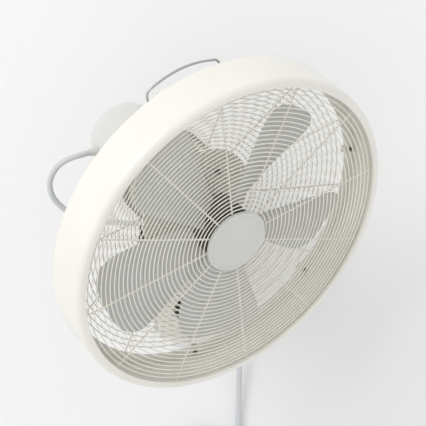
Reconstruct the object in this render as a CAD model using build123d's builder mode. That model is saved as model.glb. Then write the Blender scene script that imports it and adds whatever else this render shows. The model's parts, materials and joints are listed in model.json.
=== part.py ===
from build123d import *
import os
from math import atan2, cos, degrees, pi, radians, sin, sqrt, tan

os.makedirs("parts", exist_ok=True)

# Wall fan with a drum shroud, in millimetres. +Z is up, the wall is the plane y = 0 and
# the fan stands out towards -Y. The origin is the middle of the four wall holes.

# Driving sizes of the shroud and guards
drum_radius = 225.0
drum_depth = 59.5
drum_wall = 2.0
lip_round = 8.0
lip_chords = 2
lip_width = 11.5
lip_inner_radius = drum_radius - lip_width
rear_flange_width = 16.0
rear_flange_radius = drum_radius - rear_flange_width
rear_flange_setback = 2.2
wire = 2.2
ring_width = 1.6
ring_height = 1.5
guard_recess = 6.0
ring_pitch = 6.0
first_ring = 46.5
last_ring = lip_inner_radius - 5.0
outer_ring_width = 3.0
ring_sides = 24
rim_sides = 36
hidden_sides = 20
weld_gap = 0.1
front_spokes = 12
rear_ring_pitch = 6.8
rear_first_ring = 86.0
rear_last_ring = rear_flange_radius - 2.0
rear_spokes = 12
guard_plate_radius = 80.0
guard_plate_bore = 24.0
guard_plate_depth = 92.0
guard_plate_wall = 2.0
clip_count = 7
clip_width = 12.0
handle_wire = 3.2
handle_radius = drum_radius - 16.0
handle_depth = 90.0
handle_middle = 90.0
handle_spread = 15.0
handle_rise = 6.0
handle_crown = 90.0
handle_corner = 9.0

# Badge and its carrier
badge_radius = 42.0
badge_rim = 4.5
badge_recess = 1.5
carrier_radius = 38.0
carrier_wall = 1.5

# Rotor
shaft_radius = 6.0
hub_radius = 36.0
hub_front = 24.0
hub_rear = 60.0
blade_count = 5
blade_tip = 178.0
blade_sheet = 1.8
blade_phase = 46.5
blade_corner = 26.0
blade_stock = 90.0
core_radius = 34.0
core_length = 36.0
air_gap = 0.5
running_gap = 0.05

# Motor and its tail cover
motor_radius = 64.0
motor_wall = 3.0
motor_front = 94.0
motor_seam = 138.0
motor_rear = 172.0
tail_radius = 52.0
tail_wall = 2.5
tail_centre = 255.0
dome_chords = 4
bearing_radius = 15.0
bearing_width = 9.0
boss_radius = 19.0
through_bolt_circle = 55.0
vent_count = 12
gearbox_radius = 44.0
gearbox_rear = 238.0

# Swivel, tilt and their rest angles
swivel_depth = 170.0
swivel_height = 122.0
spindle_radius = 9.0
spindle_sunk = 8.0
groove_radius = 7.0
pin_radius = 2.5
foot_radius = 25.0
foot_bottom = 74.0
bush_wall = 3.0
bush_flange = 2.0
socket_radius = 21.0
socket_top = 44.0
socket_bottom = 21.0
pan_rest = 40.5
tilt_rest = 34.1
tongue_width = 28.0
tongue_radius = 17.0
washer = 1.0
ear_wall = 10.0
ear_radius = 19.0
tilt_bolt_radius = 6.0
knob_radius = 22.0
knob_length = 18.0

# Wall base
plate_width = 112.0
plate_height = 160.0
plate_wall = 3.0
hole_spacing_x = 94.0
hole_spacing_z = 130.0
hole_radius = 3.5
base_width = 84.0
base_wall = 3.0
base_bottom = 80.0
base_top = 74.0
base_lower_depth = 50.0
base_upper_depth = 66.0
base_round = 6.0
tab_length = 14.0
tab_wall = 2.0
arm_reach = 165.0
arm_rise = 85.0
flange_size = 52.0
flange_wall = 8.0
flange_height = 36.0
arm_bolt_spacing = 38.0
arm_bolt_radius = 3.0
switch_height = -34.0
switch_radius = 5.0
dial_shaft = 3.0
side_screw_radius = 1.9
side_screw_place = -10.0
side_screw_height = 40.0
dial_radius = 17.0
dial_depth = 14.0

# Supply cord, coil and plug
cord = 8.0
coil_pitch = 8.6
coil_mid_radius = 44.0
coil_loops = 4
coil_height = -292.0
coil_near_wall = 6.8
tie_width = 12.0
tie_wall = 1.2
tie_gap = 0.5
coil_entry_x = 71.5
plug_tail = 70.0
gland_height = -46.0
gland_away = 28.0
gland_drop = 50.0
gland_length = 14.0

# Reference planes: the neck plane sits on the tilt pivot, the fan plane on the front rim
pivot = Vector(0, -arm_reach, arm_rise)
neck_up = Vector(0, -sin(radians(tilt_rest)), cos(radians(tilt_rest)))
neck = Plane(origin=pivot, x_dir=(1, 0, 0), z_dir=neck_up)
swivel_axis = Axis(pivot, neck_up)
swivel_point = pivot + neck_up * swivel_height
fan_out = (neck.y_dir * -1).rotate(swivel_axis, pan_rest)
fan_right = Vector(1, 0, 0).rotate(swivel_axis, pan_rest)
fan = Plane(origin=swivel_point + fan_out * swivel_depth, x_dir=fan_right, z_dir=fan_out)
fan_axis = Axis(fan.origin, fan.z_dir)
fan_side = Plane(origin=fan.origin, x_dir=fan.x_dir, z_dir=fan.y_dir * -1)


def radial_plane(angle):
    """A plane through the fan's axis: x is the radius at this angle and y runs out of the front."""
    outward = fan.x_dir.rotate(fan_axis, angle)
    return Plane(origin=fan.origin, x_dir=outward, z_dir=outward.cross(fan.z_dir))


def finish(piece, name):
    """Labels a finished piece and writes it as its own file."""
    piece.part.label = name
    export_step(piece.part, f"parts/{name}.step")


def quarter_round(radius, steps):
    """Points round the front lip, step 0 on the drum's side and the last on its front."""
    turns = [radians(90 * step / lip_chords) for step in steps]
    middle = drum_radius - lip_round
    return [(middle + radius * cos(turn), radius * sin(turn) - lip_round) for turn in turns]


# Shroud drum: sheet wall with a rolled front lip and an inward flange at the back
flange_back = -drum_depth + rear_flange_setback
with BuildPart() as drum:
    with BuildSketch(fan_side):
        with BuildLine():
            Polyline(
                (drum_radius, -lip_round),
                (drum_radius, -drum_depth),
                (drum_radius - drum_wall, -drum_depth),
                (drum_radius - drum_wall, flange_back),
                (rear_flange_radius, flange_back),
                (rear_flange_radius, flange_back + drum_wall),
                (drum_radius - drum_wall, flange_back + drum_wall),
                (drum_radius - drum_wall, -lip_round),
            )
            Polyline(*quarter_round(lip_round - drum_wall, range(lip_chords + 1)))
            Polyline(
                (drum_radius - lip_round, -drum_wall),
                (lip_inner_radius, -drum_wall),
                (lip_inner_radius, 0),
                (drum_radius - lip_round, 0),
            )
            Polyline(*quarter_round(lip_round, range(lip_chords, -1, -1)))
        make_face()
    revolve(axis=fan_axis)
finish(drum, "shroud_drum")


def wire_ring(radius, base, slope, side):
    """A welded ring round a polygon with its flats on the spokes; side 1 stands forward, -1 to the rear."""
    half = 180.0 / ring_sides
    corner = radius / cos(radians(half))
    path_plane = Plane(origin=fan.origin, x_dir=fan.x_dir.rotate(fan_axis, 15), z_dir=fan.z_dir)
    path_plane = path_plane.offset(base + side * weld_gap)
    points = [(radius, 0)]
    for step in range(ring_sides):
        angle = radians(half + step * 2 * half)
        points.append((corner * cos(angle), corner * sin(angle)))
    with BuildLine(path_plane) as path:
        Polyline(*points, close=True)
    start = path_plane.from_local_coords((radius, 0, 0))
    outward = path_plane.x_dir
    section_plane = Plane(origin=start, x_dir=outward, z_dir=outward.cross(fan.z_dir))
    with BuildSketch(section_plane.rotated((0, 0, slope))) as section:
        Polygon((-ring_width / 2, 0), (ring_width / 2, 0), (0, side * ring_height), align=None)
    return sweep(
        sections=section.sketch, path=path.wire(), transition=Transition.RIGHT, mode=Mode.PRIVATE
    )


# Front guard: round wires on twelve spokes, the outermost one under the lip
ring_count = 1 + int((last_ring - first_ring) / ring_pitch + 0.5)
ring_radii = [first_ring + step * ring_pitch for step in range(ring_count)]
with BuildPart() as front_rings:
    add([wire_ring(ring, -guard_recess, 0, 1) for ring in ring_radii])
finish(front_rings, "front_guard_rings")

spoke_plane = fan.offset(-guard_recess - wire)
spoke_inner = 20.0
spoke_outer = drum_radius - 5.5
with BuildPart() as front_bars:
    with BuildSketch(spoke_plane):
        with PolarLocations((spoke_inner + spoke_outer) / 2, front_spokes):
            Rectangle(spoke_outer - spoke_inner, wire)
    extrude(amount=wire)
finish(front_bars, "front_guard_spokes")

outer_ring_radius = lip_inner_radius + outer_ring_width / 2 + 0.5
with BuildPart() as outer_ring:
    with BuildSketch(fan.offset(-guard_recess)):
        RegularPolygon(outer_ring_radius + outer_ring_width / 2, rim_sides)
        RegularPolygon(outer_ring_radius - outer_ring_width / 2, rim_sides, mode=Mode.SUBTRACT)
    extrude(amount=guard_recess - drum_wall)
finish(outer_ring, "front_guard_rim")

with BuildPart() as carrier:
    with BuildSketch(fan.offset(-guard_recess - wire - carrier_wall)):
        RegularPolygon(carrier_radius, rim_sides)
    extrude(amount=carrier_wall)
finish(carrier, "badge_carrier")

with BuildPart() as badge:
    with BuildSketch(fan_side):
        with BuildLine():
            Polyline(
                (0, -guard_recess),
                (badge_radius, -guard_recess),
                (badge_radius, 0),
                (badge_radius - badge_rim + 1.0, 0),
                (badge_radius - badge_rim, -badge_recess),
                (0, -badge_recess),
                close=True,
            )
        make_face()
    revolve(axis=fan_axis)
finish(badge, "badge")

# Rear guard: spokes slope back from the drum flange to the plate on the motor
cone_outer = rear_last_ring + 2.0
cone_slope = degrees(
    atan2(guard_plate_depth - drum_depth, cone_outer - guard_plate_radius)
)
slope_tangent = tan(radians(cone_slope))
bar_angles = [15 + step * 360 / rear_spokes for step in range(rear_spokes)]
bar_inner = 62.0
bar_outer = drum_radius - 6.0
with BuildPart() as rear_bars:
    for angle in bar_angles:
        with BuildSketch(radial_plane(angle)):
            Polygon(
                (bar_inner, -guard_plate_depth),
                (guard_plate_radius, -guard_plate_depth),
                (cone_outer, -drum_depth),
                (bar_outer, -drum_depth),
                (bar_outer, -drum_depth + wire),
                (cone_outer, -drum_depth + wire),
                (guard_plate_radius, -guard_plate_depth + wire),
                (bar_inner, -guard_plate_depth + wire),
                align=None,
            )
        extrude(amount=wire / 2, both=True)
finish(rear_bars, "rear_guard_spokes")

rear_count = 1 + int((rear_last_ring - rear_first_ring) / rear_ring_pitch + 0.01)
rear_radii = [rear_first_ring + step * rear_ring_pitch for step in range(rear_count)]
with BuildPart() as rear_rings:
    add(
        [
            wire_ring(ring, -drum_depth - (cone_outer - ring) * slope_tangent, cone_slope, -1)
            for ring in rear_radii
        ]
    )
finish(rear_rings, "rear_guard_rings")

edge_ring_radius = rear_flange_radius + 4.0
with BuildPart() as edge_ring:
    with BuildSketch(fan.offset(-drum_depth - wire)):
        RegularPolygon(edge_ring_radius + wire / 2, rim_sides)
        RegularPolygon(edge_ring_radius - wire / 2, rim_sides, mode=Mode.SUBTRACT)
    extrude(amount=wire)
finish(edge_ring, "rear_guard_rim")

plate_screw_circle = 50.0
plate_screw_radius = 2.1
with BuildPart() as guard_plate:
    with BuildSketch(fan.offset(-guard_plate_depth - guard_plate_wall)):
        Circle(guard_plate_radius)
        Circle(guard_plate_bore, mode=Mode.SUBTRACT)
        with PolarLocations(plate_screw_circle, 4, start_angle=45):
            RegularPolygon(plate_screw_radius, 6, mode=Mode.SUBTRACT)
    extrude(amount=guard_plate_wall)
finish(guard_plate, "rear_guard_plate")

with BuildPart() as plate_screws:
    with BuildSketch(fan.offset(-guard_plate_depth)):
        with PolarLocations(plate_screw_circle, 4, start_angle=45):
            RegularPolygon(4.0, 8)
    extrude(amount=2.4)
    with BuildSketch(fan.offset(-guard_plate_depth - guard_plate_wall)):
        with PolarLocations(plate_screw_circle, 4, start_angle=45):
            RegularPolygon(plate_screw_radius, 6)
    extrude(amount=guard_plate_wall)
finish(plate_screws, "guard_plate_screws")

# Clips hold the edge ring of the rear guard on the drum's flange
clip_angles = [step * 360 / clip_count for step in range(clip_count)]
clip_foot = edge_ring_radius + wire / 2 + 0.3
clip_end = drum_radius - drum_wall - 0.6
clip_top = -drum_depth - wire
clip_screw_place = (clip_foot + clip_end) / 2
with BuildPart() as clips:
    for angle in clip_angles:
        with BuildSketch(radial_plane(angle)):
            Polygon(
                (clip_foot, flange_back),
                (clip_end, flange_back),
                (clip_end, clip_top - 1.5),
                (edge_ring_radius - 4.0, clip_top - 1.5),
                (edge_ring_radius - 4.0, clip_top),
                (clip_foot, clip_top),
                align=None,
            )
        extrude(amount=clip_width / 2, both=True)
finish(clips, "guard_clips")

with BuildPart() as clip_screws:
    with BuildSketch(fan.offset(clip_top - 3.5)):
        with PolarLocations(clip_screw_place, clip_count):
            RegularPolygon(3.0, 6)
    extrude(amount=2.0)
    with BuildSketch(fan.offset(flange_back + drum_wall)):
        with PolarLocations(clip_screw_place, clip_count):
            RegularPolygon(3.0, 6)
    extrude(amount=2.5)
finish(clip_screws, "clip_screws")

# Carrying handle: one bent wire on the two upper spokes of the rear guard
handle_foot = 150.0
foot_depth = drum_depth + (cone_outer - handle_foot) * slope_tangent + handle_wire / 2
with BuildPart() as handle:
    left = radial_plane(handle_middle + handle_spread)
    right = radial_plane(handle_middle - handle_spread)
    foot_left = left.from_local_coords((handle_foot, -foot_depth, 0))
    foot_right = right.from_local_coords((handle_foot, -foot_depth, 0))
    top_left = left.from_local_coords((handle_radius, -handle_depth, 0))
    top_right = right.from_local_coords((handle_radius, -handle_depth, 0))
    crown_point = (handle_radius + handle_rise, -handle_depth, 0)
    crown = radial_plane(handle_middle).from_local_coords(crown_point)
    with BuildLine() as handle_path:
        bends = (handle_corner, handle_crown, handle_corner)
        FilletPolyline(foot_left, top_left, crown, top_right, foot_right, radius=bends)
    with BuildSketch(Plane(origin=handle_path.line @ 0, z_dir=handle_path.line % 0)):
        RegularPolygon(handle_wire / 2, 5)
    sweep()
finish(handle, "carry_handle")

# Rotor: shaft, hub, five pressed blades and the cap nut
shaft_front = 20.0
with BuildPart() as shaft:
    with BuildSketch(fan.offset(-gearbox_rear + 6)):
        Circle(shaft_radius)
    extrude(amount=gearbox_rear - 6 - shaft_front)
finish(shaft, "rotor_shaft")

with BuildPart() as hub:
    with BuildSketch(fan_side):
        with BuildLine():
            Polyline(
                (shaft_radius, -hub_front),
                (hub_radius - 10, -hub_front),
                (hub_radius, -hub_front - 6),
                (hub_radius, -hub_rear),
                (shaft_radius, -hub_rear),
                close=True,
            )
        make_face()
    revolve(axis=fan_axis)
finish(hub, "blade_hub")

# Blade sheet: a shallow trough that runs aslant to the radius, so the pitch eases towards the tip
trough_place = 262.0
trough_depth = 22.0
trough_twist = 30.6
trough_lean = 14.6
trough_radius = 148.0
trough_length = 250.0
trough_near = -25.0
trough_far = 155.0
root_half_width = 17.0
root_place = 30.0
middle_half_width = 49.0
middle_place = 130.0
tip_half_width = 63.0
tip_place = 205.0


def trough(across):
    """Rise of the blade sheet this far across its trough."""
    return across**2 / (2 * trough_radius)


def blade(angle):
    """One pressed blade at this angle, trimmed to its planform and to the hub."""
    blade_plane = radial_plane(angle)
    outward = blade_plane.x_dir
    start = blade_plane.from_local_coords((trough_place, -trough_depth, 0))
    tangent = fan.z_dir.cross(outward)
    leaned = outward * cos(radians(trough_lean)) + fan.z_dir * sin(radians(trough_lean))
    twist = radians(trough_twist)
    across_dir = tangent * cos(twist) - leaned * sin(twist)
    along_dir = tangent * sin(twist) + leaned * cos(twist)
    aslant = Plane(origin=start, x_dir=across_dir, z_dir=along_dir)
    ways = (trough_near, (trough_near + trough_far) / 2, trough_far)
    back = [(across, trough(across)) for across in ways]
    front = [(across, rise + blade_sheet) for across, rise in back]
    with BuildPart(mode=Mode.PRIVATE) as sheet:
        with BuildSketch(aslant):
            with BuildLine():
                ThreePointArc(*back)
                Line(back[2], front[2])
                ThreePointArc(*reversed(front))
                Line(front[0], back[0])
            make_face()
        extrude(amount=-trough_length)
        planform = Plane(origin=fan.origin, x_dir=outward, z_dir=fan.z_dir).offset(-blade_stock)
        with BuildSketch(planform) as outline:
            Polygon(
                (root_place, -root_half_width),
                (middle_place, -middle_half_width),
                (tip_place, -tip_half_width),
                (tip_place, tip_half_width),
                (middle_place, middle_half_width),
                (root_place, root_half_width),
                align=None,
            )
            Circle(blade_tip, mode=Mode.INTERSECT)
            Circle(hub_radius, mode=Mode.SUBTRACT)
            tip_corners = outline.vertices().sort_by(Axis.X)[-2:]
            fillet(tip_corners, blade_corner)
        extrude(amount=blade_stock, mode=Mode.INTERSECT)
    return sheet.part


with BuildPart() as blades:
    add([blade(blade_phase + number * 360 / blade_count) for number in range(blade_count)])
finish(blades, "fan_blades")

nut_radius = 12.0
nut_length = 11.0
with BuildPart() as cap_nut:
    with BuildSketch(fan.offset(-hub_front)):
        RegularPolygon(nut_radius, 6)
    extrude(amount=nut_length)
    with BuildSketch(fan.offset(-hub_front)):
        Circle(shaft_radius)
    extrude(amount=hub_front - shaft_front, mode=Mode.SUBTRACT)
finish(cap_nut, "hub_cap_nut")

core_front = 120.0
with BuildPart() as core:
    with BuildSketch(fan.offset(-core_front - core_length)):
        RegularPolygon(core_radius, hidden_sides)
        Circle(shaft_radius, mode=Mode.SUBTRACT)
    extrude(amount=core_length)
finish(core, "rotor_core")

# Motor: two bells, stator, windings and bearings
bearing_front = 99.0
bearing_back = 158.0
bell_chamfer = 8.0
vent_circle = 36.0
with BuildPart() as front_bell:
    with BuildSketch(fan_side):
        with BuildLine():
            Polyline(
                (bearing_radius, -motor_front),
                (motor_radius - bell_chamfer, -motor_front),
                (motor_radius, -motor_front - bell_chamfer),
                (motor_radius, -motor_seam),
                (motor_radius - motor_wall, -motor_seam),
                (motor_radius - motor_wall, -bearing_front - bearing_width),
                (bearing_radius, -bearing_front - bearing_width),
                close=True,
            )
        make_face()
    revolve(axis=fan_axis)
    with BuildSketch(fan.offset(-motor_front)):
        with PolarLocations(vent_circle, vent_count):
            Rectangle(18, 4)
        with PolarLocations(plate_screw_circle, 4, start_angle=45):
            RegularPolygon(plate_screw_radius, 6)
    extrude(amount=motor_front - bearing_front - bearing_width, mode=Mode.SUBTRACT)
finish(front_bell, "motor_front_bell")

foot_seat = 52.0
foot_plane = Plane(origin=swivel_point - neck_up * foot_bottom, x_dir=fan_right, z_dir=neck_up)
with BuildPart() as rear_bell:
    with BuildSketch(fan.offset(-motor_rear)):
        Circle(motor_radius)
    extrude(amount=motor_rear - motor_seam)
    with BuildSketch(foot_plane):
        Circle(foot_radius)
    extrude(amount=foot_bottom - foot_seat + 4)
    with BuildSketch(fan.offset(-bearing_back)):
        Circle(motor_radius - motor_wall)
    extrude(amount=bearing_back - motor_seam + 6, mode=Mode.SUBTRACT)
    with BuildSketch(fan.offset(-motor_rear + motor_wall)):
        Circle(motor_radius - motor_wall)
        Circle(boss_radius, mode=Mode.SUBTRACT)
    extrude(amount=motor_rear - motor_wall - bearing_back, mode=Mode.SUBTRACT)
    with BuildSketch(fan.offset(-motor_rear)):
        Circle(tail_radius + 0.2)
    extrude(amount=-40, mode=Mode.SUBTRACT)
    with BuildSketch(fan.offset(-motor_rear)):
        Circle(bearing_radius)
    extrude(amount=motor_rear - bearing_back, mode=Mode.SUBTRACT)
    with BuildSketch(foot_plane):
        Circle(spindle_radius)
    extrude(amount=spindle_sunk, mode=Mode.SUBTRACT)
finish(rear_bell, "motor_rear_bell")

with BuildPart() as stator:
    with BuildSketch(fan.offset(-core_front - core_length)):
        RegularPolygon(motor_radius - motor_wall, hidden_sides)
        RegularPolygon(core_radius + air_gap, hidden_sides, major_radius=False, mode=Mode.SUBTRACT)
    extrude(amount=core_length)
finish(stator, "stator_core")

winding_radius = 50.0
winding_height = 10.0
with BuildPart() as windings:
    for back in (-core_front, -core_front - core_length - winding_height):
        with BuildSketch(fan.offset(back)):
            RegularPolygon(winding_radius, hidden_sides)
            RegularPolygon(core_radius + 3, hidden_sides, major_radius=False, mode=Mode.SUBTRACT)
        extrude(amount=winding_height)
finish(windings, "stator_windings")

for name, back in (("front", bearing_front), ("rear", bearing_back)):
    with BuildPart() as bearing:
        with BuildSketch(fan.offset(-back - bearing_width)):
            RegularPolygon(bearing_radius, hidden_sides)
            Circle(shaft_radius + running_gap, mode=Mode.SUBTRACT)
        extrude(amount=bearing_width)
    finish(bearing, f"{name}_bearing")

# Tail cover: a long cap over the gearbox with a half-ball end, turned in short chords
dome = [radians(90 * step / dome_chords) for step in range(dome_chords + 1)]
with BuildPart() as tail:
    with BuildSketch(fan_side):
        with BuildLine():
            Polyline(
                (0, -tail_centre),
                (tail_radius - tail_wall, -tail_centre),
                (tail_radius - tail_wall, -motor_rear),
                (tail_radius, -motor_rear),
                *[(tail_radius * cos(turn), -tail_centre - tail_radius * sin(turn)) for turn in dome],
                close=True,
            )
        make_face()
    revolve(axis=fan_axis)
finish(tail, "tail_cover")

with BuildPart() as gearbox:
    with BuildSketch(fan.offset(-gearbox_rear)):
        RegularPolygon(gearbox_radius, hidden_sides)
    extrude(amount=gearbox_rear - motor_rear)
    with BuildSketch(fan.offset(-gearbox_rear + 4)):
        Circle(shaft_radius + 0.6)
    extrude(amount=gearbox_rear, mode=Mode.SUBTRACT)
finish(gearbox, "swing_gearbox")

lead_gland_radius = 6.5
lead_depth = tail_centre - 1.0
lead_angle = 168.0
gland_plane = radial_plane(lead_angle)
gland_mouth = tail_radius + 11
with BuildPart() as head_gland:
    gland_seat = gland_plane.from_local_coords((tail_radius - 3, -lead_depth, 0))
    with BuildSketch(Plane(origin=gland_seat, z_dir=gland_plane.x_dir)):
        RegularPolygon(lead_gland_radius, 12)
    extrude(amount=gland_mouth - tail_radius + 3, taper=4)
    with BuildSketch(fan.offset(-motor_rear)):
        Circle(tail_radius)
    extrude(amount=-tail_centre, mode=Mode.SUBTRACT)
finish(head_gland, "head_gland")

# Swivel: spindle in the foot, turning in a bush in the neck
pin_height = 33.0
pin_plane = Plane(origin=neck.from_local_coords((0, 0, pin_height)), z_dir=neck.y_dir)
spindle_end = socket_bottom + 3.0
neck_low = neck.offset(spindle_end)
with BuildPart() as spindle:
    with BuildSketch(neck_low):
        Circle(spindle_radius)
    extrude(amount=swivel_height - foot_bottom + spindle_sunk - spindle_end)
    with BuildSketch(neck.offset(pin_height - pin_radius - 0.3)):
        Circle(spindle_radius + 1)
        Circle(groove_radius, mode=Mode.SUBTRACT)
    extrude(amount=2 * pin_radius + 0.6, mode=Mode.SUBTRACT)
finish(spindle, "swivel_spindle")

bush_outer = spindle_radius + bush_wall
with BuildPart() as bush:
    with BuildSketch(neck.offset(socket_bottom + 3)):
        Circle(bush_outer)
    extrude(amount=socket_top - socket_bottom - 3)
    with BuildSketch(neck.offset(socket_top)):
        RegularPolygon(socket_radius - 2, hidden_sides)
    extrude(amount=bush_flange)
    with BuildSketch(neck.offset(socket_bottom)):
        Circle(spindle_radius + running_gap)
    extrude(amount=socket_top, mode=Mode.SUBTRACT)
    with BuildSketch(pin_plane):
        Circle(pin_radius)
    extrude(amount=socket_radius, mode=Mode.SUBTRACT)
finish(bush, "swivel_bush")

with BuildPart() as neck_bracket:
    with BuildSketch(neck.offset(socket_bottom)):
        Circle(socket_radius)
    extrude(amount=socket_top - socket_bottom)
    with BuildSketch(Plane(origin=pivot, x_dir=neck.y_dir, z_dir=(1, 0, 0))):
        Circle(tongue_radius)
        with Locations((0, socket_bottom / 2)):
            Rectangle(2 * tongue_radius, socket_bottom + 4)
    extrude(amount=tongue_width / 2, both=True)
    with BuildSketch(Plane(origin=pivot, x_dir=neck.y_dir, z_dir=(1, 0, 0))):
        Circle(tilt_bolt_radius + running_gap)
    extrude(amount=tongue_width, both=True, mode=Mode.SUBTRACT)
    with BuildSketch(neck.offset(socket_bottom + 3)):
        Circle(bush_outer)
    extrude(amount=socket_top, mode=Mode.SUBTRACT)
    with BuildSketch(pin_plane):
        Circle(pin_radius)
    extrude(amount=socket_radius + 1, mode=Mode.SUBTRACT)
finish(neck_bracket, "neck_bracket")

neck_gland_height = 32.0
neck_mouth = socket_radius + 12
with BuildPart() as neck_gland:
    with BuildSketch(Plane(origin=neck.from_local_coords((0, 0, neck_gland_height)), z_dir=(-1, 0, 0))):
        RegularPolygon(lead_gland_radius, 12)
    extrude(amount=neck_mouth, taper=3)
    with BuildSketch(neck):
        Circle(socket_radius)
    extrude(amount=socket_top + 20, mode=Mode.SUBTRACT)
finish(neck_gland, "neck_gland")

with BuildPart() as side_washers:
    for side in (1, -1):
        with BuildSketch(Plane(origin=pivot + Vector(side * tongue_width / 2, 0, 0), z_dir=(side, 0, 0))):
            RegularPolygon(tongue_radius - 2, hidden_sides)
            RegularPolygon(tilt_bolt_radius, 12, major_radius=False, mode=Mode.SUBTRACT)
        extrude(amount=washer)
finish(side_washers, "tilt_washers")

# Arm: flange on the base, swan neck and the fork for the tilt joint
ear_inner = tongue_width / 2 + washer + 0.3
ear_outer = ear_inner + ear_wall
fork_root = 34.0
root_y = -arm_reach + fork_root
arm_front = -base_upper_depth
with BuildPart() as arm:
    with BuildSketch(Plane.XZ.offset(-arm_front)):
        with Locations((0, flange_height)):
            Rectangle(flange_size, flange_size)
        with Locations((0, flange_height)):
            with GridLocations(arm_bolt_spacing, arm_bolt_spacing, 2, 2):
                RegularPolygon(arm_bolt_radius, 8, mode=Mode.SUBTRACT)
    extrude(amount=flange_wall)
    with BuildSketch(Plane.XZ.offset(-arm_front + flange_wall)):
        with Locations((0, flange_height)):
            Rectangle(25, 44)
    with BuildSketch(Plane.XZ.offset(-root_y)):
        with Locations((0, arm_rise - 1)):
            Rectangle(2 * ear_outer, 34)
    loft(ruled=True)
    with BuildSketch(Plane.XZ.offset(-root_y)):
        with Locations((0, arm_rise - 1)):
            Rectangle(2 * ear_outer, 34)
    extrude(amount=2)
    with BuildSketch(Plane.YZ):
        with Locations((-arm_reach, arm_rise)):
            Circle(ear_radius)
        with BuildLine():
            Polyline(
                (-arm_reach, arm_rise + ear_radius),
                (root_y, arm_rise + 14),
                (root_y, arm_rise - 16),
                (-arm_reach, arm_rise - ear_radius),
                close=True,
            )
        make_face()
    extrude(amount=ear_outer, both=True)
    with BuildSketch(Plane.YZ):
        with Locations((-arm_reach, arm_rise)):
            RegularPolygon(32, 16)
        with Locations((-arm_reach - 20, arm_rise)):
            Rectangle(40, 60)
    extrude(amount=ear_inner, both=True, mode=Mode.SUBTRACT)
    with BuildSketch(Plane.YZ):
        with Locations((-arm_reach, arm_rise)):
            RegularPolygon(tilt_bolt_radius, 12, major_radius=False)
    extrude(amount=2 * ear_outer, both=True, mode=Mode.SUBTRACT)
finish(arm, "support_arm")

with BuildPart() as arm_bolts:
    with BuildSketch(Plane.XZ.offset(-arm_front + flange_wall)):
        with Locations((0, flange_height)):
            with GridLocations(arm_bolt_spacing, arm_bolt_spacing, 2, 2):
                RegularPolygon(5.4, 6)
    extrude(amount=4)
    with BuildSketch(Plane.XZ.offset(-arm_front - base_wall - 6)):
        with Locations((0, flange_height)):
            with GridLocations(arm_bolt_spacing, arm_bolt_spacing, 2, 2):
                RegularPolygon(arm_bolt_radius, 8)
    extrude(amount=flange_wall + base_wall + 6)
finish(arm_bolts, "arm_bolts")

bolt_head = 6.0
with BuildPart() as tilt_bolt:
    with BuildSketch(Plane.YZ.offset(-ear_outer - 12)):
        with Locations((-arm_reach, arm_rise)):
            Circle(tilt_bolt_radius)
    extrude(amount=2 * ear_outer + 12)
    with BuildSketch(Plane.YZ.offset(ear_outer)):
        with Locations((-arm_reach, arm_rise)):
            RegularPolygon(11, 6)
    extrude(amount=bolt_head)
finish(tilt_bolt, "tilt_bolt")

# Hand knob that clamps the tilt, on the left end of the bolt
with BuildPart() as tilt_knob:
    with BuildSketch(Plane.YZ.offset(-ear_outer - 0.3 - knob_length)):
        with Locations((-arm_reach, arm_rise)):
            RegularPolygon(knob_radius, 10)
    extrude(amount=knob_length - 4)
    with BuildSketch(Plane.YZ.offset(-ear_outer - 0.3 - 4)):
        with Locations((-arm_reach, arm_rise)):
            RegularPolygon(11, 12)
    extrude(amount=4)
    with BuildSketch(Plane.YZ.offset(-ear_outer - 13)):
        with Locations((-arm_reach, arm_rise)):
            Circle(tilt_bolt_radius + running_gap)
    extrude(amount=14, mode=Mode.SUBTRACT)
finish(tilt_knob, "tilt_knob")

# Wall plate with folded tabs that the base housing slips over
with BuildPart() as wall_plate:
    with BuildSketch(Plane.XZ):
        Rectangle(plate_width, plate_height)
        with GridLocations(hole_spacing_x, hole_spacing_z, 2, 2):
            Circle(hole_radius, mode=Mode.SUBTRACT)
    extrude(amount=plate_wall)
    tab_place = base_width / 2 - base_wall - 0.2 - tab_wall / 2
    with BuildSketch(Plane.XZ.offset(plate_wall)):
        with GridLocations(2 * tab_place, 80, 2, 2):
            Rectangle(tab_wall, 24)
    extrude(amount=tab_length)
    with BuildSketch(Plane.YZ):
        with Locations((side_screw_place, side_screw_height), (side_screw_place, -side_screw_height)):
            RegularPolygon(side_screw_radius, 6)
    extrude(amount=base_width, both=True, mode=Mode.SUBTRACT)
finish(wall_plate, "wall_plate")

base_outline = (
    (-plate_wall, -base_bottom),
    (-base_lower_depth + 8, -base_bottom),
    (-base_lower_depth, -base_bottom + 14),
    (-base_lower_depth, -8),
    (-base_upper_depth, 8),
    (-base_upper_depth, base_top - 8),
    (-base_upper_depth + 12, base_top),
    (-plate_wall, base_top),
)
with BuildPart() as base:
    with BuildSketch(Plane.YZ):
        Polygon(*base_outline, align=None)
    extrude(amount=base_width / 2, both=True)
    for outer_face in (0, -1):
        outer_edges = base.edges().filter_by(Plane.YZ).group_by(Axis.X)[outer_face]
        chamfer(outer_edges.sort_by(Axis.Y)[:-1], base_round / 2)
    with BuildSketch(Plane.YZ):
        Polygon(*base_outline, align=None)
        offset(amount=-base_wall)
        with Locations((-plate_wall - 2, -3)):
            Rectangle(2 * base_wall + 2, base_top + base_bottom - 2 * base_wall)
    extrude(amount=base_width / 2 - base_wall, both=True, mode=Mode.SUBTRACT)
    with BuildSketch(Plane.XZ):
        with Locations((0, flange_height)):
            with GridLocations(arm_bolt_spacing, arm_bolt_spacing, 2, 2):
                RegularPolygon(arm_bolt_radius, 8)
        with Locations((0, switch_height)):
            RegularPolygon(switch_radius + 0.3, 12, major_radius=False)
    extrude(amount=base_upper_depth + 5, mode=Mode.SUBTRACT)
    with BuildSketch(Plane.YZ):
        with Locations((side_screw_place, side_screw_height), (side_screw_place, -side_screw_height)):
            RegularPolygon(side_screw_radius, 6)
    extrude(amount=base_width, both=True, mode=Mode.SUBTRACT)
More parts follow.
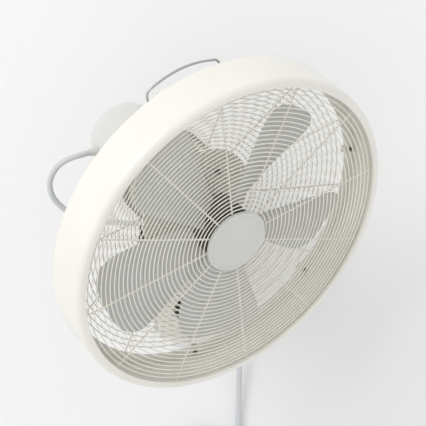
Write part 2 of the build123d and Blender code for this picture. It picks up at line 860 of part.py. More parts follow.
finish(base, "base_housing")


with BuildPart() as side_screws:
    for side in (1, -1):
        with BuildSketch(Plane.YZ.offset(side * base_width / 2)):
            with Locations((side_screw_place, side_screw_height), (side_screw_place, -side_screw_height)):
                RegularPolygon(4.0, 8)
        extrude(amount=side * 2.2)
        with BuildSketch(Plane.YZ.offset(side * (base_width / 2 - 7))):
            with Locations((side_screw_place, side_screw_height), (side_screw_place, -side_screw_height)):
                RegularPolygon(side_screw_radius, 6)
        extrude(amount=side * 7)
finish(side_screws, "base_screws")

# Speed switch behind the housing front, with its dial
with BuildPart() as switch:
    with BuildSketch(Plane.XZ.offset(base_lower_depth - base_wall - 16)):
        with Locations((0, switch_height)):
            Rectangle(32, 32)
    extrude(amount=16)
    with BuildSketch(Plane.XZ.offset(base_lower_depth - base_wall)):
        with Locations((0, switch_height)):
            RegularPolygon(switch_radius, 12)
    extrude(amount=base_wall + 0.8)
    with BuildSketch(Plane.XZ.offset(base_lower_depth - 12)):
        with Locations((0, switch_height)):
            Circle(dial_shaft + running_gap)
    extrude(amount=20, mode=Mode.SUBTRACT)
finish(switch, "speed_switch")

dial_back = base_lower_depth + 1.1
dial_grip = 13.0
dial_skirt = 3.0
with BuildPart() as dial:
    with BuildSketch(Plane.XZ.offset(dial_back)):
        with Locations((0, switch_height)):
            RegularPolygon(dial_radius, hidden_sides)
    extrude(amount=dial_skirt)
    with BuildSketch(Plane.XZ.offset(dial_back + dial_skirt)):
        with Locations((0, switch_height)):
            RegularPolygon(dial_grip, 12)
    extrude(amount=dial_depth - dial_skirt, taper=4)
    with BuildSketch(Plane.XZ.offset(base_lower_depth - 11)):
        with Locations((0, switch_height)):
            Circle(dial_shaft)
    extrude(amount=dial_back - base_lower_depth + 11)
finish(dial, "speed_dial")

with BuildPart() as capacitor:
    with BuildSketch(Plane.XZ.offset(plate_wall)):
        with Locations((0, 40)):
            Rectangle(50, 30)
    extrude(amount=18)
finish(capacitor, "run_capacitor")

with BuildPart() as terminals:
    with BuildSketch(Plane.XZ.offset(plate_wall)):
        with Locations((0, 0)):
            Rectangle(44, 18)
    extrude(amount=8)
    with BuildSketch(Plane.XZ.offset(plate_wall + 8)):
        with GridLocations(11, 1, 4, 1):
            Rectangle(8, 14)
    extrude(amount=5)
finish(terminals, "terminal_block")

with BuildPart() as through_bolts:
    with BuildSketch(fan.offset(-motor_rear)):
        with PolarLocations(through_bolt_circle + 2, 4, start_angle=45):
            RegularPolygon(4.0, 6)
    extrude(amount=-3)
finish(through_bolts, "motor_bolts")

# Pin through the neck socket, running in a groove of the spindle
with BuildPart() as swivel_pin:
    with BuildSketch(pin_plane.offset(groove_radius + 0.3)):
        Circle(pin_radius)
    extrude(amount=socket_radius - groove_radius)
    with BuildSketch(pin_plane.offset(socket_radius)):
        RegularPolygon(5.0, 6)
    extrude(amount=4)
finish(swivel_pin, "swivel_pin")

# Gland of the supply cord, leaving the right side and pointing down
gland_heading = Vector(cos(radians(gland_drop)), 0, -sin(radians(gland_drop)))
gland_root = Vector(base_width / 2, -gland_away, gland_height)
cord_start = gland_root + gland_heading * gland_length
with BuildPart() as cord_gland:
    with BuildSketch(Plane(origin=gland_root - gland_heading * 8, z_dir=gland_heading)):
        RegularPolygon(8.0, 12)
    extrude(amount=gland_length + 8, taper=3)
    with BuildSketch(Plane.YZ.offset(base_width / 2)):
        with Locations((-gland_away, gland_height)):
            Rectangle(40, 60)
    extrude(amount=-30, mode=Mode.SUBTRACT)
finish(cord_gland, "cord_gland")


def bend_radii(points, name):
    """Arc radii for a route: 0.45 of the shorter run beside each point over the tangent of half its turn."""
    radii = []
    for before, here, after in zip(points, points[1:], points[2:]):
        first, second = here - before, after - here
        turn = first.get_angle(second)
        radii.append(0.45 * min(first.length, second.length) / tan(radians(turn / 2)))
    print(name, "bend radii", [round(radius, 1) for radius in radii])
    return radii


def cord_piece(points, name):
    """A round cord along straight runs and tangent arcs."""
    with BuildPart() as piece:
        with BuildLine() as path:
            FilletPolyline(*points, radius=bend_radii(points, name))
        with BuildSketch(Plane(origin=points[0], z_dir=points[1] - points[0])) as section:
            RegularPolygon(cord / 2, 6)
        sweep(sections=section.sketch, path=path.wire())
    length = path.wire().length
    share = piece.part.volume / (section.sketch.area * length)
    print(name, "length", round(length, 1), "volume over section times length", round(share, 4))
    finish(piece, name)


coil_outer_radius = coil_mid_radius + coil_pitch * coil_loops / 4
coil_centre = Vector(coil_entry_x - coil_outer_radius, 0, coil_height)
supply_points = [
    cord_start,
    cord_start + gland_heading * 16,
    Vector(69.0, -25.5, -86.0),
    Vector(73.0, -22.0, -105.0),
    Vector(74.8, -17.5, -126.0),
    Vector(74.0, -13.5, -150.0),
    Vector(72.4, -9.2, -178.0),
    Vector(71.6, -7.2, -212.0),
    Vector(coil_entry_x, -coil_near_wall, -252.0),
    Vector(coil_entry_x, -coil_near_wall, coil_height + cord),
]
cord_piece(supply_points, "supply_cord")


def coil_place(turned):
    """Centre of the cord after this many turns from the entry: in by steady steps, up a layer, and out again."""
    half = coil_loops / 2
    radius = coil_outer_radius - coil_pitch * (turned if turned < half else coil_loops - turned)
    climb = min(max((turned - half) * 2 + 0.5, 0.0), 1.0)
    layer = coil_pitch * (climb - sin(2 * pi * climb) / (2 * pi))
    angle = -2 * pi * turned
    across = Vector(radius * cos(angle), 0, radius * sin(angle))
    return coil_centre + across + Vector(0, -coil_near_wall - layer, 0)


def biarc(start, start_way, end, end_way):
    """Two arcs that leave one point and reach the other in the given directions."""
    chord = end - start
    both = start_way + end_way
    lean = 2 * (1 - start_way.dot(end_way))
    reach = (sqrt(chord.dot(both) ** 2 + lean * chord.dot(chord)) - chord.dot(both)) / lean
    joint = (start + end + (start_way - end_way) * reach) / 2
    way = (end - end_way * reach - start - start_way * reach).normalized()
    TangentArc(start, joint, tangent=start_way)
    TangentArc(joint, end, tangent=way)


def coil_way(turned):
    """Direction of the cord there; the ends run straight down."""
    if turned <= 0 or turned >= coil_loops:
        return Vector(0, 0, -1)
    return (coil_place(turned + 0.001) - coil_place(turned - 0.001)).normalized()


with BuildPart() as coil:
    with BuildLine() as coil_path:
        Line(coil_place(0) + Vector(0, 0, cord), coil_place(0))
        for step in range(2 * coil_loops):
            here, there = step / 2, (step + 1) / 2
            biarc(coil_place(here), coil_way(here), coil_place(there), coil_way(there))
        Line(coil_place(coil_loops), coil_place(coil_loops) - Vector(0, 0, cord))
    coil_start = Plane(origin=coil_place(0) + Vector(0, 0, cord), z_dir=(0, 0, -1))
    with BuildSketch(coil_start) as section:
        RegularPolygon(cord / 2, 5)
    sweep(sections=section.sketch, path=coil_path.wire())
coil_length = coil_path.wire().length
places = [coil_path.wire() @ (step / 600) for step in range(601)]
gaps = [
    (places[i] - places[j]).length - cord
    for i in range(601)
    for j in range(i + 1, 601)
    if (j - i) * coil_length / 600 > 4 * cord
]
print("cord_coil length", round(coil_length, 1), "least gap to itself", round(min(gaps), 2))
finish(coil, "cord_coil")

# Tie round the coil at its top, and the plug hanging from the tail
tie_inner = coil_outer_radius - coil_pitch * coil_loops / 2 - cord / 2 - tie_gap
tie_outer = coil_outer_radius + cord / 2 + tie_gap
tie_near = coil_near_wall - cord / 2 - tie_gap
tie_far = coil_near_wall + coil_pitch + cord / 2 + tie_gap
with BuildPart() as tie:
    with BuildSketch(Plane.YZ.offset(coil_centre.X - tie_width / 2)):
        with Locations((-(tie_near + tie_far) / 2, coil_height + (tie_inner + tie_outer) / 2)):
            Rectangle(tie_far - tie_near + 2 * tie_wall, tie_outer - tie_inner + 2 * tie_wall)
            Rectangle(tie_far - tie_near, tie_outer - tie_inner, mode=Mode.SUBTRACT)
    extrude(amount=tie_width)
finish(tie, "coil_tie")

tail_start = coil_place(coil_loops) - Vector(0, 0, cord)
tail_end = tail_start - Vector(-2.5, 0, plug_tail)
tail_points = [
    tail_start,
    tail_start - Vector(0, 0, 20),
    tail_start - Vector(-2.5, 0, 45),
    tail_end,
]
cord_piece(tail_points, "plug_lead")

with BuildPart() as plug:
    with BuildSketch(Plane(origin=tail_end, x_dir=(1, 0, 0), z_dir=(0, 0, -1))):
        Rectangle(13, 11)
    extrude(amount=14, taper=-8)
    with BuildSketch(Plane(origin=tail_end - Vector(0, 0, 14), x_dir=(1, 0, 0), z_dir=(0, 0, -1))) as plug_outline:
        Rectangle(34, 22)
        chamfer(plug_outline.vertices(), 6)
    extrude(amount=22)
finish(plug, "plug_body")

with BuildPart() as plug_pins:
    with BuildSketch(Plane(origin=tail_end - Vector(0, 0, 36), x_dir=(1, 0, 0), z_dir=(0, 0, -1))):
        with Locations((9.5, 0), (-9.5, 0)):
            RegularPolygon(2.4, 10)
    extrude(amount=19)
finish(plug_pins, "plug_pins")

# Slack lead from the tail cover to the neck, long enough for the whole swing
lead_gap = 0.6
lead_start = gland_plane.from_local_coords((gland_mouth, -lead_depth, 0))
lead_end = neck.from_local_coords((-neck_mouth - lead_gap, 0, neck_gland_height))
lead_points = [
    lead_start,
    lead_start + gland_plane.x_dir * 13,
    Vector(-124.5, -233.0, 204.0),
    Vector(-140.0, -231.0, 196.0),
    Vector(-152.0, -227.0, 182.0),
    Vector(-157.5, -221.5, 165.0),
    Vector(-155.0, -214.0, 149.0),
    Vector(-146.0, -207.0, 135.5),
    Vector(-132.0, -201.0, 125.0),
    Vector(-114.0, -195.5, 117.5),
    Vector(-93.0, -190.5, 113.5),
    Vector(-70.0, -186.0, 111.6),
    Vector(-51.0, lead_end.Y, lead_end.Z),
    lead_end,
]
cord_piece(lead_points, "motor_lead")
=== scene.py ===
import json
from math import acos, atan2, cos, degrees, pi, radians, sin, sqrt

import bpy
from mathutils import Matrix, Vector


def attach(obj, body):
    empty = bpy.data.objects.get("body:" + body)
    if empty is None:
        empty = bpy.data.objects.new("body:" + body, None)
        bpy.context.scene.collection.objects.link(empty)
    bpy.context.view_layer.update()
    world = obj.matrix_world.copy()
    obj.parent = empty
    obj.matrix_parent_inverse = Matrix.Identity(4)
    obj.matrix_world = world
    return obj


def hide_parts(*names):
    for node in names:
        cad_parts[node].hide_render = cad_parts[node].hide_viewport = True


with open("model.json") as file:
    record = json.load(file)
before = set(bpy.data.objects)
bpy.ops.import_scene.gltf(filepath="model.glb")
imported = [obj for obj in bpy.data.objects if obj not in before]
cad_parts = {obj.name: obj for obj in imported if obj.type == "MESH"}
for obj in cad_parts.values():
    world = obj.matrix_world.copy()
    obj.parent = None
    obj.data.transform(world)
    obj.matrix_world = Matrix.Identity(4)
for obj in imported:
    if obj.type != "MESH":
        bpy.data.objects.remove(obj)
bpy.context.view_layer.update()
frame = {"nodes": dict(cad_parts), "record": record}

MM = 0.001

# The fan's own frame, in millimetres, from the same sizes as the solids: x right, y up, z out of the front
pan, tilt = radians(40.5), radians(34.1)
neck_up = Vector((0, -sin(tilt), cos(tilt)))
neck_back = Vector((0, cos(tilt), sin(tilt)))
pivot = Vector((0, -165.0, 85.0))
fan_out = -neck_back * cos(pan) + Vector((1, 0, 0)) * sin(pan)
fan_right = Vector((1, 0, 0)) * cos(pan) + neck_back * sin(pan)
fan_up = fan_out.cross(fan_right)
fan_origin = pivot + neck_up * 122.0 + fan_out * 170.0


def place(x, y, z):
    """A point of the fan's frame as a point of the row frame, in metres."""
    return (fan_origin + fan_right * x + fan_up * y + fan_out * z) * MM


def polar(angle, radius, z):
    """The same for a point given by its angle and radius about the fan's axis."""
    return place(radius * cos(radians(angle)), radius * sin(radians(angle)), z)


def linear(red, green, blue):
    """A display colour, 0 to 255, as the linear colour that the shader takes."""
    shades = [c / 255 for c in (red, green, blue)]
    return [((c + 0.055) / 1.055) ** 2.4 if c > 10 / 255 else c / 12.92 for c in shades] + [1]


# Camera and its place in front of the wall
def make_camera():
    data = bpy.data.cameras.new("photo_camera")
    sensor, focal_pixels, frame_pixels = 36.0, 1400.0, 426.0
    data.sensor_width = sensor
    data.lens = focal_pixels * sensor / frame_pixels
    camera = bpy.data.objects.new("photo_camera", data)
    bpy.context.scene.collection.objects.link(camera)
    turn, dip = radians(7.9), radians(8.0)
    camera.location = Vector((314.0, -2027.7, 388.9)) * MM
    camera.rotation_euler = (pi / 2 - dip, 0, turn)
    data.clip_start = 0.05
    bpy.context.scene.camera = camera


make_camera()


# Materials
def material(
    name, colour, rough, metal=0.0, vary=0.05, grain=180.0, bump=0.05, coat=0.0, stretch=(1, 1, 1)
):
    """A painted, moulded or metal surface with fine grain, slight blotches and uneven gloss."""
    made = bpy.data.materials.new(name)
    made.use_nodes = True
    nodes, links = made.node_tree.nodes, made.node_tree.links
    shader = nodes["Principled BSDF"]
    shader.inputs["Metallic"].default_value = metal
    shader.inputs["Coat Weight"].default_value = coat
    where = nodes.new("ShaderNodeTexCoord")
    spread = nodes.new("ShaderNodeMapping")
    spread.inputs["Scale"].default_value = stretch
    links.new(where.outputs["Object"], spread.inputs["Vector"])
    blotch = nodes.new("ShaderNodeTexNoise")
    blotch.inputs["Scale"].default_value = 14.0
    blotch.inputs["Detail"].default_value = 5.0
    fine = nodes.new("ShaderNodeTexNoise")
    fine.inputs["Scale"].default_value = grain
    fine.inputs["Detail"].default_value = 3.0
    links.new(spread.outputs["Vector"], blotch.inputs["Vector"])
    links.new(spread.outputs["Vector"], fine.inputs["Vector"])
    shade = nodes.new("ShaderNodeValToRGB")
    base = linear(*colour)
    shade.color_ramp.elements[0].position = 0.3
    shade.color_ramp.elements[1].position = 0.7
    shade.color_ramp.elements[0].color = [c * (1 - vary) for c in base[:3]] + [1]
    shade.color_ramp.elements[1].color = [min(c * (1 + vary), 1.0) for c in base[:3]] + [1]
    links.new(blotch.outputs["Fac"], shade.inputs["Fac"])
    links.new(shade.outputs["Color"], shader.inputs["Base Color"])
    gloss = nodes.new("ShaderNodeMapRange")
    gloss.inputs["To Min"].default_value = rough * 0.85
    gloss.inputs["To Max"].default_value = min(rough * 1.15, 1.0)
    links.new(fine.outputs["Fac"], gloss.inputs["Value"])
    links.new(gloss.outputs["Result"], shader.inputs["Roughness"])
    relief = nodes.new("ShaderNodeBump")
    relief.inputs["Strength"].default_value = bump
    relief.inputs["Distance"].default_value = 0.0006
    links.new(fine.outputs["Fac"], relief.inputs["Height"])
    links.new(relief.outputs["Normal"], shader.inputs["Normal"])
    return made


finishes = {
    "plate_steel": material("zinc_sheet", (190, 190, 186), 0.35, 0.8, 0.08, 240, 0.08),
    "base_grey": material("base_paint", (212, 208, 200), 0.45, 0, 0.04, 260, 0.12),
    "screw_steel": material("screw_steel", (120, 120, 118), 0.35, 0.9, 0.12, 400, 0.1),
    "black_plastic": material("black_moulding", (34, 34, 34), 0.5, 0, 0.15, 500, 0.2),
    "cord_grey": material("cord_sheath", (206, 208, 211), 0.5, 0, 0.03, 320, 0.15),
    "nickel": material("nickel_pin", (205, 202, 194), 0.22, 1.0, 0.05, 300, 0.03),
    "bearing_bronze": material("bronze", (150, 112, 62), 0.4, 0.9, 0.1, 300, 0.1),
    "bearing_steel": material("ground_steel", (170, 170, 168), 0.25, 1.0, 0.05, 500, 0.05, 0, (1, 1, 8)),
    "motor_brown": material("motor_paint", (112, 104, 94), 0.5, 0, 0.1, 220, 0.25),
    "core_steel": material("core_steel", (92, 92, 92), 0.5, 0.8, 0.12, 400, 0.3),
    "winding_copper": material("windings", (150, 80, 42), 0.4, 0.7, 0.15, 600, 0.5),
    "tail_white": material("tail_moulding", (215, 215, 211), 0.3, 0, 0.02, 300, 0.04, 0.2),
    "guard_cream": material("guard_coating", (240, 237, 226), 0.35, 0, 0.03, 300, 0.08, 0.2),
    "drum_cream": material("drum_paint", (238, 235, 227), 0.36, 0, 0.02, 240, 0.06, 0.2),
    "wire_grey": material("plated_wire", (190, 190, 188), 0.3, 0.8, 0.08, 400, 0.05),
    "badge_grey": material("badge_moulding", (214, 214, 210), 0.4, 0, 0.02, 260, 0.05),
    "hub_dark": material("hub_paint", (62, 60, 57), 0.45, 0, 0.1, 260, 0.15),
    "blade_grey": material("blade_sheet", (202, 202, 200), 0.4, 0.15, 0.04, 200, 0.06),
}
slot_of = {part["node"]: part["material_slot"] for part in frame["record"]["subparts"]}
for name, node in frame["nodes"].items():
    node.data.materials.clear()
    node.data.materials.append(finishes[slot_of[name]])


# Mesh helpers
def piece(name, points, faces, slot, body, nodes, sharp=35):
    """A smooth-shaded mesh in the row frame that rides on a body and stands for the named nodes."""
    mesh = bpy.data.meshes.new(name)
    mesh.from_pydata([tuple(point) for point in points], [], faces)
    mesh.validate()
    mesh.shade_smooth()
    mesh.set_sharp_from_angle(angle=radians(sharp))
    mesh.materials.append(finishes[slot])
    made = bpy.data.objects.new(name, mesh)
    bpy.context.scene.collection.objects.link(made)
    if nodes:
        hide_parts(*nodes)
    if body:
        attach(made, body)
    return made


def turned(name, profile, slot, body, nodes, steps=160, sharp=35):
    """A closed outline of radius and z, turned about the fan's axis."""
    points, faces = [], []
    count = len(profile)
    for step in range(steps):
        points += [polar(360 * step / steps, radius, z) for radius, z in profile]
    for step in range(steps):
        here, there = step * count, (step + 1) % steps * count
        for k in range(count):
            after = (k + 1) % count
            faces.append((here + k, there + k, there + after, here + after))
    return piece(name, points, faces, slot, body, nodes, sharp)


def arc(middle, radius, start, end, steps=8):
    """Points of a round corner in an outline."""
    turns = [radians(start + (end - start) * step / steps) for step in range(steps + 1)]
    return [(middle[0] + radius * cos(turn), middle[1] + radius * sin(turn)) for turn in turns]


def add_wire(points, faces, way, radius, sides=8, closed=False):
    """Adds a round wire along points in millimetres of the row frame to a mesh's lists."""
    first = len(points)
    last = len(way) - 1
    for k, here in enumerate(way):
        before = way[k - 1] if k or closed else here
        after = way[(k + 1) % len(way)] if k < last or closed else here
        along = (after - before).normalized()
        side = along.cross(fan_out)
        side = side.normalized() if side.length > 0.05 else fan_right
        up = side.cross(along).normalized()
        for turn in range(sides):
            angle = 2 * pi * turn / sides
            points.append((here + side * radius * cos(angle) + up * radius * sin(angle)) * MM)
    for k in range(len(way) if closed else last):
        here, there = first + k * sides, first + (k + 1) % len(way) * sides
        for turn in range(sides):
            after = (turn + 1) % sides
            faces.append((here + turn, there + turn, there + after, here + after))
    if not closed:
        faces.append(tuple(first + turn for turn in reversed(range(sides))))
        faces.append(tuple(first + last * sides + turn for turn in range(sides)))


def wires(name, ways, radius, slot, nodes, closed=False, body="head", sides=8):
    points, faces = [], []
    for way in ways:
        add_wire(points, faces, way, radius, sides, closed)
    return piece(name, points, faces, slot, body, nodes, 60)


def circle_way(radius, z, steps=128):
    return [polar(360 * step / steps, radius, z) / MM for step in range(steps)]


# Drum: rolled lip in front, flange at the back
drum_radius, drum_depth, wall, lip = 225.0, 59.5, 2.0, 8.0
flange_radius, mouth_radius = 209.0, 213.5
flange_back = -drum_depth + 2.2
drum_outline = [(drum_radius, -drum_depth + 0.6), (drum_radius - 0.6, -drum_depth)]
drum_outline += [(drum_radius - wall, -drum_depth), (drum_radius - wall, flange_back)]
drum_outline += [(flange_radius + 0.4, flange_back), (flange_radius, flange_back + 0.6)]
drum_outline += [(flange_radius, flange_back + wall)]
drum_outline += [(drum_radius - wall, flange_back + wall)]
drum_outline += arc((drum_radius - lip, -lip), lip - wall, 0, 90)
drum_outline += [(mouth_radius + 0.4, -wall), (mouth_radius, -wall + 0.5)]
drum_outline += [(mouth_radius, -0.5), (mouth_radius + 0.4, 0)]
drum_outline += arc((drum_radius - lip, -lip), lip, 90, 0)
turned("drum_shell", drum_outline, "drum_cream", "head", ["shroud_drum"], 240, 30)

# Front guard
front_face, first_ring, ring_pitch, ring_count = -6.0, 46.5, 6.0, 28
ring_wire, ring_seat, spoke_turn, spoke_count = 0.8, 0.75, 30, 12
ring_radii = [first_ring + ring_pitch * step for step in range(ring_count)]
ring_ways = [circle_way(radius, front_face + ring_seat) for radius in ring_radii]
wires("front_rings", ring_ways, ring_wire, "guard_cream", ["front_guard_rings"], True)
spoke_ways = [
    [polar(spoke_turn * k, radius, front_face - 1.1) / MM for radius in (20, 120, 219)]
    for k in range(spoke_count)
]
wires("front_spokes", spoke_ways, 1.15, "guard_cream", ["front_guard_spokes"])
wires("front_rim", [circle_way(215.5, -4.0, 192)], 1.5, "guard_cream", ["front_guard_rim"], True)
badge_outline = [(0.01, front_face), (41.0, front_face), (42.0, front_face + 1.0)]
badge_outline += arc((40.2, -1.8), 1.8, 0, 90) + arc((39.2, -1.2), 1.2, 90, 165, 4)
badge_outline += [(37.2, -1.5), (0.01, -1.5)]
turned("badge_disc", badge_outline, "badge_grey", "head", ["badge"], 128, 25)

# Rear guard on its shallow cone
cone_outer, plate_radius, plate_depth = 209.0, 80.0, 92.0
slope = (plate_depth - drum_depth) / (cone_outer - plate_radius)
rear_first, rear_pitch, rear_count, bar_wire = 86.0, 6.8, 18, 1.1
rear_radii = [rear_first + rear_pitch * step for step in range(rear_count)]
rear_ways = [circle_way(r, -drum_depth - (cone_outer - r) * slope - ring_seat) for r in rear_radii]
wires("rear_rings", rear_ways, ring_wire, "guard_cream", ["rear_guard_rings"], True)
bar_depths = [(62, plate_depth), (80, plate_depth), (209, drum_depth), (219, drum_depth)]
bar_ways = [
    [polar(15 + spoke_turn * k, radius, bar_wire - depth) / MM for radius, depth in bar_depths]
    for k in range(spoke_count)
]
wires("rear_spokes", bar_ways, bar_wire, "guard_cream", ["rear_guard_spokes"])
rear_rim_way = circle_way(213.0, -drum_depth - bar_wire, 192)
wires("rear_rim", [rear_rim_way], bar_wire, "guard_cream", ["rear_guard_rim"], True)

# Carrying handle
foot_radius, arch_steps = 150.0, 14
foot = drum_depth + (cone_outer - foot_radius) * slope + 1.6
handle_spots = [(105, 150, -foot), (105, 180, -foot - 8.5), (104.9, 199, -88.6), (104.3, 205.5, -89.6)]
for step in range(arch_steps + 1):
    rise = 4.4 * sin(pi * step / arch_steps)
    handle_spots.append((103 - 26 * step / arch_steps, 209.3 + rise, -90.0))
handle_spots += [(75.7, 205.5, -89.6), (75.1, 199, -88.6), (75, 180, -foot - 8.5), (75, 150, -foot)]
handle_way = [polar(*spot) / MM for spot in handle_spots]
wires("handle_wire", [handle_way], 1.5, "wire_grey", ["carry_handle"])

# Blades: the same trough as the solids, with rounded tips
trough_place, trough_depth, trough_radius, sheet = 262.0, 22.0, 148.0, 1.8
twist, lean = radians(30.6), radians(14.6)
hub_radius, tip_radius, corner = 36.0, 178.0, 26.0
blade_count, blade_phase = 5, 46.5
flank = [(30.0, 17.0), (130.0, 49.0), (205.0, 63.0)]


def trough_arc():
    """Centre and radius of the round trough through its three points."""
    ways = [-25.0, 65.0, 155.0]
    (x1, y1), (x2, y2), (x3, y3) = [(w, w * w / (2 * trough_radius)) for w in ways]
    a, b = x2 - x1, y2 - y1
    c, d = x3 - x1, y3 - y1
    e, f = a * (x1 + x2) + b * (y1 + y2), c * (x1 + x3) + d * (y1 + y3)
    g = 2 * (a * (y3 - y2) - b * (x3 - x2))
    cx, cy = (d * e - b * f) / g, (a * f - c * e) / g
    return cx, cy, sqrt((x1 - cx) ** 2 + (y1 - cy) ** 2)


arc_x, arc_y, arc_r = trough_arc()


def sheet_height(x, y):
    """Height of the sheet's rear face in the fan's frame, found by steps towards it."""
    height = -34.0
    for _ in range(40):
        dx, dz = x - trough_place, height + trough_depth
        leaned = dx * cos(lean) + dz * sin(lean)
        across = y * cos(twist) - leaned * sin(twist)
        rise = arc_y - sqrt(max(arc_r**2 - (across - arc_x) ** 2, 1.0))
        normal = -dx * sin(lean) + dz * cos(lean)
        height += (rise - normal) / cos(lean) * 0.6
    return height


def half_angle(radius):
    """Half of the blade's spread at this radius, eased by the round tip corner."""
    nx, ny = -0.1835, 0.983
    level = nx * 130.0 + ny * 49.0
    along = sqrt((tip_radius - corner) ** 2 - (level - corner) ** 2)
    cx, cy = (level - corner) * nx + along * ny, (level - corner) * ny - along * nx
    reach = tip_radius - corner
    if radius > sqrt((cx + corner * nx) ** 2 + (cy + corner * ny) ** 2):
        away = (radius**2 + reach**2 - corner**2) / (2 * radius * reach)
        return atan2(cy, cx) + acos(max(min(away, 1.0), -1.0))
    low, high = 0.0, 1.0
    for _ in range(40):
        angle = (low + high) / 2
        x, y = radius * cos(angle), radius * sin(angle)
        (x1, y1), (x2, y2) = flank[:2] if x < flank[1][0] else flank[1:]
        edge = y1 + (y2 - y1) * (x - x1) / (x2 - x1)
        low, high = (angle, high) if y < edge else (low, angle)
    return low


def blades():
    points, faces = [], []
    root, row_count, columns = hub_radius + 0.2, 30, 24
    rows = []
    for k in range(row_count + 1):
        rows.append(root + (tip_radius - hub_radius - 0.2) * (1 - (1 - k / row_count) ** 1.6))
    shape = []
    for radius in rows:
        spread = half_angle(radius)
        for k in range(columns + 1):
            angle = spread * (2 * k / columns - 1)
            x, y = radius * cos(angle), radius * sin(angle)
            shape.append((radius, degrees(angle), sheet_height(x, y)))
    size = len(shape)
    wide = columns + 1
    for number in range(blade_count):
        start = len(points)
        turn = blade_phase + 360 / blade_count * number
        points += [polar(turn + angle, radius, z) for radius, angle, z in shape]
        points += [polar(turn + angle, radius, z + sheet) for radius, angle, z in shape]
        for row in range(len(rows) - 1):
            for k in range(columns):
                a = start + row * wide + k
                faces.append((a, a + 1, a + wide + 1, a + wide))
                faces.append((a + size, a + size + wide, a + size + wide + 1, a + size + 1))
        rim = [row * wide for row in range(len(rows))]
        rim += [(len(rows) - 1) * wide + k for k in range(1, wide)]
        rim += [row * wide + columns for row in reversed(range(len(rows) - 1))]
        rim += [k for k in reversed(range(1, columns))]
        for one, two in zip(rim, rim[1:] + rim[:1]):
            faces.append((start + one, start + two, start + two + size, start + one + size))
    return piece("blade_set", points, faces, "blade_grey", "rotor", ["fan_blades"], 40)


blades()
hub_outline = [(6.0, -24.0), (25.0, -24.0)] + arc((28.0, -32.0), 8.0, 90, 0, 8)
hub_outline += [(36.0, -59.4), (35.4, -60.0), (6.0, -60.0)]
turned("hub_shell", hub_outline, "hub_dark", "rotor", ["blade_hub"], 96, 30)

# Tail cover with its round end
tail_radius, tail_inner, tail_seam, tail_centre = 52.0, 49.5, -172.0, -255.0
tail = [(tail_inner, tail_seam), (51.4, tail_seam), (tail_radius, -172.6), (tail_radius, tail_centre)]
tail += arc((0.0, tail_centre), tail_radius, 0, -89.9, 24)[1:]
tail += [(0.05, tail_centre), (tail_inner, tail_centre)]
turned("tail_shell", tail, "tail_white", "head", ["tail_cover"], 128, 30)


# Cords
cord_radius = 4.0


def route(name, way, slot):
    """A smooth round cord with the route's own points as control points."""
    data = bpy.data.curves.new(name, "CURVE")
    data.dimensions = "3D"
    data.bevel_depth = cord_radius * MM
    data.bevel_resolution = 4
    data.resolution_u = 12
    line = data.splines.new("NURBS")
    line.points.add(len(way) - 1)
    for point, spot in zip(line.points, way):
        point.co = (*[c * MM for c in spot], 1)
    line.order_u = 3
    line.use_endpoint_u = True
    data.materials.append(finishes[slot])
    made = bpy.data.objects.new(name, data)
    bpy.context.scene.collection.objects.link(made)
    return made


# Wall and floor
def backdrop():
    stage = bpy.data.materials.new("wall_paint")
    stage.use_nodes = True
    nodes, links = stage.node_tree.nodes, stage.node_tree.links
    shader = nodes["Principled BSDF"]
    shader.inputs["Roughness"].default_value = 0.9
    shader.inputs["Base Color"].default_value = linear(240, 240, 240)
    clear = nodes.new("ShaderNodeBsdfTransparent")
    mix = nodes.new("ShaderNodeMixShader")
    side = nodes.new("ShaderNodeNewGeometry")
    links.new(side.outputs["Backfacing"], mix.inputs["Fac"])
    links.new(shader.outputs["BSDF"], mix.inputs[1])
    links.new(clear.outputs["BSDF"], mix.inputs[2])
    links.new(mix.outputs["Shader"], nodes["Material Output"].inputs["Surface"])
    low = -0.47
    shapes = {
        "wall": [(-3, 0.0008, low), (3, 0.0008, low), (3, 0.0008, 3), (-3, 0.0008, 3)],
        "floor": [(-3, -5, low), (3, -5, low), (3, 3, low), (-3, 3, low)],
    }
    for name, corners in shapes.items():
        mesh = bpy.data.meshes.new(name)
        mesh.from_pydata(corners, [], [(0, 1, 2, 3)])
        mesh.materials.append(stage)
        made = bpy.data.objects.new(name, mesh)
        bpy.context.scene.collection.objects.link(made)


backdrop()


def lamp(name, spot, aim, size, power, colour):
    data = bpy.data.lights.new(name, "AREA")
    data.size = size
    data.energy = power
    data.color = colour
    made = bpy.data.objects.new(name, data)
    made.location = spot
    made.rotation_euler = (Vector(aim) - Vector(spot)).to_track_quat("-Z", "Y").to_euler()
    bpy.context.scene.collection.objects.link(made)


lamp("key", (-2.6, -4.4, 3.4), (0, -0.2, 0.1), 3.0, 120.0, (1.0, 0.99, 0.97))
world = bpy.data.worlds.new("room")
bpy.context.scene.world = world
world.use_nodes = True
world.node_tree.nodes["Background"].inputs["Color"].default_value = (0.975, 0.985, 1.0, 1)
world.node_tree.nodes["Background"].inputs["Strength"].default_value = 0.82
bpy.context.scene.view_settings.view_transform = "Standard"

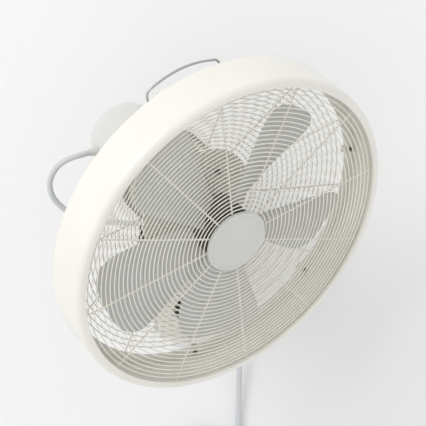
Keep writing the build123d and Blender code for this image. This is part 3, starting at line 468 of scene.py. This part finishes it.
# Cord routes, the points of the solids
mains = [
    (51.0, -28.0, -56.72), (61.28, -28.0, -68.98), (69.0, -25.5, -86.0), (73.0, -22.0, -105.0),
    (74.8, -17.5, -126.0), (74.0, -13.5, -150.0), (72.4, -9.2, -178.0), (71.6, -7.2, -212.0),
    (71.5, -6.8, -252.0),
]
loops, pitch, mid_radius, loop_steps = 4, 8.6, 44.0, 14
entry_x, off_wall, coil_height = 71.5, -6.8, -292.0
outer = mid_radius + pitch * loops / 4
for step in range(loop_steps * loops + 1):
    turned_by = step / loop_steps
    radius = outer - pitch * (turned_by if turned_by < loops / 2 else loops - turned_by)
    climb = min(max((turned_by - loops / 2) * 2 + 0.5, 0.0), 1.0)
    layer = pitch * (climb - sin(2 * pi * climb) / (2 * pi))
    angle = -2 * pi * turned_by
    x, z = entry_x - outer + radius * cos(angle), coil_height + radius * sin(angle)
    mains.append((x, off_wall - layer, z))
tail_top = Vector(mains[-1]) + Vector((0, 0, -8))
mains.append(tuple(tail_top))
mains += [tuple(tail_top + Vector((aside, 0, drop))) for aside, drop in ((0, -20), (2.5, -45), (2.5, -70))]
mains_cord = route("mains_cord", mains, "cord_grey")
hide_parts("supply_cord", "cord_coil", "plug_lead")
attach(mains_cord, "base")

lead_angle, lead_depth, gland_reach, gland_height = 168, -254.0, 33.6, 32.0
lead_mouth = polar(lead_angle, 63.0, lead_depth) / MM
lead_out = polar(lead_angle, 76.0, lead_depth) / MM
lead_end = pivot + neck_up * gland_height - Vector((gland_reach, 0, 0))
lead = [tuple(lead_mouth), tuple(lead_out)]
lead += [
    (-124.5, -233.0, 204.0), (-140.0, -231.0, 196.0), (-152.0, -227.0, 182.0), (-157.5, -221.5, 165.0),
    (-155.0, -214.0, 149.0), (-146.0, -207.0, 135.5), (-132.0, -201.0, 125.0), (-114.0, -195.5, 117.5),
    (-93.0, -190.5, 113.5), (-70.0, -186.0, 111.6), (-51.0, lead_end.y, lead_end.z),
]
lead.append(tuple(lead_end))
motor_cord = route("motor_cord", lead, "cord_grey")
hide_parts("motor_lead")
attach(motor_cord, "head")
